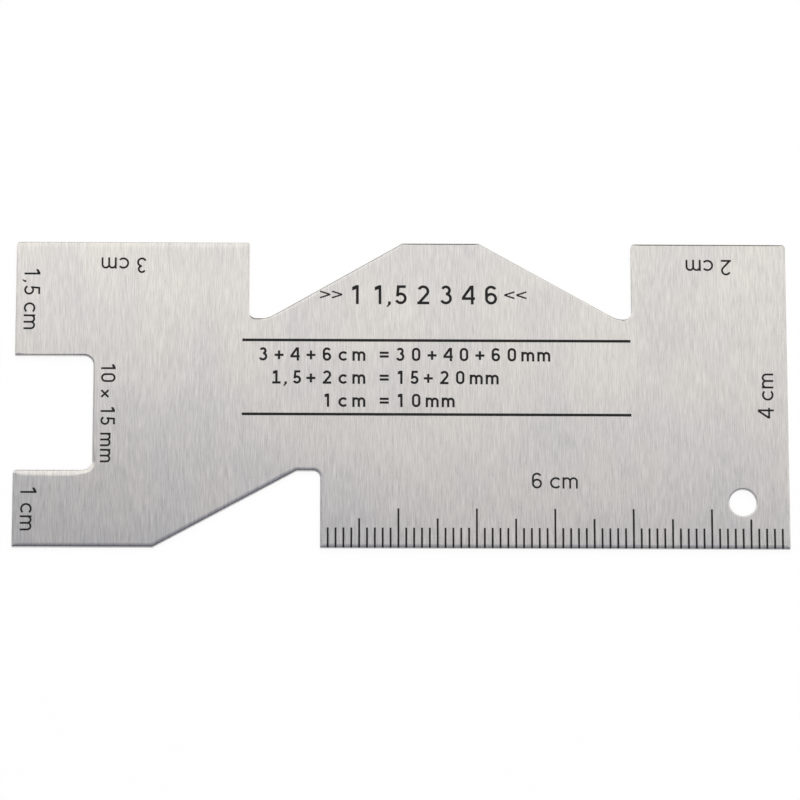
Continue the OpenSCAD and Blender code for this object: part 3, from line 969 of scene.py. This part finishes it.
# %% [markdown]
# ## The softbox
#
# One softbox stands behind the gauge and lights the ink and the floor. It doesn't show in
# reflections, because the steel would mirror it as a hard white patch.

# %% Set the softbox
KEY_PLACE = Vector((0.15, 0.75, 0.75))
KEY_SIZE = (0.9, 0.6)
KEY_POWER = 9.0

key_data = bpy.data.lights.new("softbox", "AREA")
key_data.shape = "RECTANGLE"
key_data.size, key_data.size_y = KEY_SIZE
key_data.energy = KEY_POWER
key_facing = (-KEY_PLACE).to_track_quat("-Z", "Y").to_matrix().to_4x4()
key = bpy.data.objects.new("softbox", key_data)
key.matrix_world = Matrix.Translation(KEY_PLACE) @ key_facing
key.visible_glossy = False
bpy.context.scene.collection.objects.link(key)
print("softbox", KEY_POWER, "W at", tuple(KEY_PLACE), "m")

# %% [markdown]
# ## The panels overhead
#
# A flat metal face shows whatever stands opposite the camera, and here that is the edge between a
# white tent and a dark panel overhead. The panel darkens the lower edges, which tip towards it,
# and the face falls off gently towards them. Its far edge runs straight on the right and bends
# away on the left, and a pale panel lies beyond the straight part. Only reflections see them.

# %% Hang the panels
PANEL_Z = 0.65
PANEL_REACH = 1.5
PANEL_EDGE_Y = 0.108
PANEL_DARK_Y = -0.38
PANEL_BEND_X = 0.1
PANEL_BEND_SLOPE = 0.195
PALE_REACH = 0.55
PANEL_DARK = (0.10, 0.11, 0.155)
PANEL_AT_EDGE = (0.415, 0.425, 0.465)
PANEL_PALE = (0.80, 0.80, 0.81)


def mirrored_only(name, points, dark_end, pale_end):
    """One flat glowing panel that only reflections see. Its tone grades between the two along Y."""
    mesh = bpy.data.meshes.new(name)
    mesh.from_pydata(points, [], [range(len(points))])
    panel = bpy.data.objects.new(name, mesh)
    bpy.context.scene.collection.objects.link(panel)
    paint, tree, _ = new_material(name)
    coords = tree.nodes.new("ShaderNodeTexCoord").outputs["Object"]
    place = add_node(tree, "ShaderNodeSeparateXYZ", Vector=coords)
    grade = in_range(tree, place.outputs["Y"], PANEL_DARK_Y, PANEL_EDGE_Y)
    tone = mixed(tree, "RGBA", grade, (*dark_end, 1), (*pale_end, 1))
    glow = add_node(tree, "ShaderNodeEmission", Color=tone, Strength=1.0)
    tree.links.new(glow.outputs[0], tree.nodes["Material Output"].inputs["Surface"])
    mesh.materials.append(paint)
    panel.visible_camera = False
    panel.visible_diffuse = False
    panel.visible_shadow = False


bend_end_y = PANEL_EDGE_Y + PANEL_BEND_SLOPE * (PANEL_BEND_X + PANEL_REACH)
mirrored_only("overhead_panel", [
    (-PANEL_REACH, -PANEL_REACH, PANEL_Z),
    (PANEL_REACH, -PANEL_REACH, PANEL_Z),
    (PANEL_REACH, PANEL_EDGE_Y, PANEL_Z),
    (PANEL_BEND_X, PANEL_EDGE_Y, PANEL_Z),
    (-PANEL_REACH, bend_end_y, PANEL_Z),
], PANEL_DARK, PANEL_AT_EDGE)
mirrored_only("pale_panel", [
    (PANEL_BEND_X, PANEL_EDGE_Y, PANEL_Z),
    (PANEL_REACH, PANEL_EDGE_Y, PANEL_Z),
    (PANEL_REACH, PALE_REACH, PANEL_Z),
    (PANEL_BEND_X, PALE_REACH, PANEL_Z),
], PANEL_PALE, PANEL_PALE)
print("two panels at", PANEL_Z, "m, the bent edge ends at", round(bend_end_y, 3), "m")

# %% [markdown]
# ## The low walls
#
# The steep part of a roll mirrors what stands low round the gauge. Four low walls give it a grey
# there, and a dark band above the far and the near wall draws the thin dark line that follows
# those edges.

# %% Stand the low walls round the gauge
WALL_AWAY = 1.7
# Each wall's turn from the far side in degrees, the heights that it runs between, and its tone
LOW_WALLS = {
    "far_wall": (0, 0.0, 0.65, 0.55),
    "far_band": (0, 0.65, 1.3, 0.08),
    "left_wall": (90, 0.0, 1.1, 0.65),
    "near_wall": (180, 0.0, 0.65, 0.5),
    "near_band": (180, 0.65, 1.1, 0.12),
    "right_wall": (270, 0.0, 1.1, 0.8),
}
for name, (turn, base, top, tone) in LOW_WALLS.items():
    wall_corners = [(-WALL_AWAY, base), (WALL_AWAY, base), (WALL_AWAY, top), (-WALL_AWAY, top)]
    turned_wall = Matrix.Rotation(math.radians(turn), 3, "Z")
    points = [turned_wall @ Vector((x, WALL_AWAY, z)) for x, z in wall_corners]
    mirrored_only(name, points, (tone, tone, tone), (tone, tone, tone))
print("low walls:", len(LOW_WALLS), "at", WALL_AWAY, "m")
